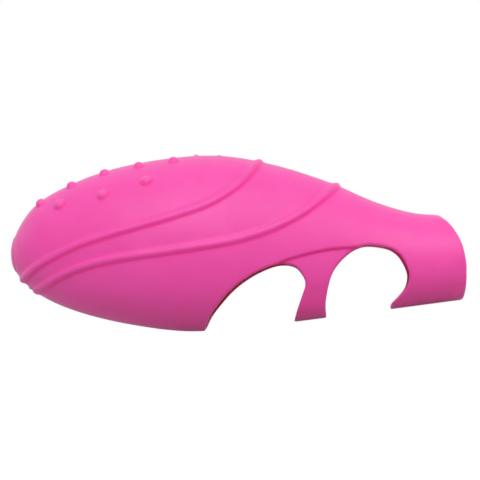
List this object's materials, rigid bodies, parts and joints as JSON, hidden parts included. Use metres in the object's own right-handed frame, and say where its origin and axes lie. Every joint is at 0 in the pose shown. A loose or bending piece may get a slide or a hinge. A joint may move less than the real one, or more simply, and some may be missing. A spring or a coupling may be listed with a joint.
{
  "type": "finger massager sleeve",
  "caption": "Finger-worn silicone massager: a nubbed, ribbed head with two finger loops and open knuckle arches, holding a battery vibration capsule with a push button.",
  "frame": {"origin": "centre of the finger bore's mouth, level with the rearmost point of the end loop's rim to within 1 mm", "axes": "+X along the finger bore, out of its mouth towards the hand; +Y across the finger; +Z from the open knuckle arches towards the nubbed top of the head"},
  "size_m": [0.1097, 0.0352, 0.0437],
  "materials": {
    "silicone": "satin moulded silicone, hot pink",
    "shell_plastic": "gloss",
    "button_silicone": "satin",
    "seal_rubber": "matt",
    "frame_plastic": "matt",
    "steel": "nickel-plated",
    "brass": "stamped",
    "tungsten": "sintered",
    "magnet": "matt ferrite",
    "copper": "wound wire",
    "board": "solder mask",
    "black_plastic": "matt"
  },
  "bodies": {
    "rear": {"sleeve_rear": "silicone"},
    "front": {"sleeve_front": "silicone"},
    "capsule": {"capsule_shell": "shell_plastic", "motor_can": "steel", "motor_bushing": "brass", "motor_magnet": "magnet", "motor_end_bell": "frame_plastic", "motor_holder": "frame_plastic", "negative_contact": "brass", "battery_spring": "brass", "battery_tube": "frame_plastic", "contact_strip": "brass", "button_cell_1": "steel", "button_cell_2": "steel", "button_cell_3": "steel"},
    "cap": {"end_cap": "shell_plastic", "cap_seal": "seal_rubber", "circuit_board": "board", "driver_chip": "black_plastic", "switch_body": "black_plastic", "positive_contact": "brass"},
    "button": {"push_button": "button_silicone"},
    "stem": {"switch_stem": "black_plastic"},
    "rotor": {"motor_shaft": "steel", "motor_armature": "copper", "eccentric_weight": "tungsten"}
  },
  "joints": [
    {"name": "sleeve_flex", "type": "hinge", "parent": "rear", "child": "front", "pos_m": [-0.024, 0, 0.0116], "axis": [0, 1, 0], "range_deg": [-5, 25], "stiffness_Nm_per_rad": 0.6, "springref_deg": 2.86},
    {"name": "capsule_slide", "type": "slide", "parent": "front", "child": "capsule", "axis": [0.9973, 0, 0.0732], "range_m": [0, 0.006]},
    {"name": "cap_twist", "type": "hinge", "parent": "capsule", "child": "cap", "pos_m": [-0.106, 0, 0.0152], "axis": [0.9973, 0, 0.0732], "range_deg": [0, 40]},
    {"name": "button_press", "type": "slide", "parent": "cap", "child": "button", "axis": [-0.9973, 0, -0.0732], "range_m": [0, 0.0005], "stiffness_N_per_m": 1500, "springref_m": -0.0005},
    {"name": "switch_travel", "type": "slide", "parent": "cap", "child": "stem", "axis": [-0.9973, 0, -0.0732], "range_m": [0, 0.0005]},
    {"name": "rotor_spin", "type": "hinge", "parent": "capsule", "child": "rotor", "pos_m": [-0.106, 0, 0.0152], "axis": [0.9973, 0, 0.0732], "continuous": true}
  ],
  "couplings": [
    {"joint": "switch_travel", "follows": "button_press", "ratio": 1}
  ]
}
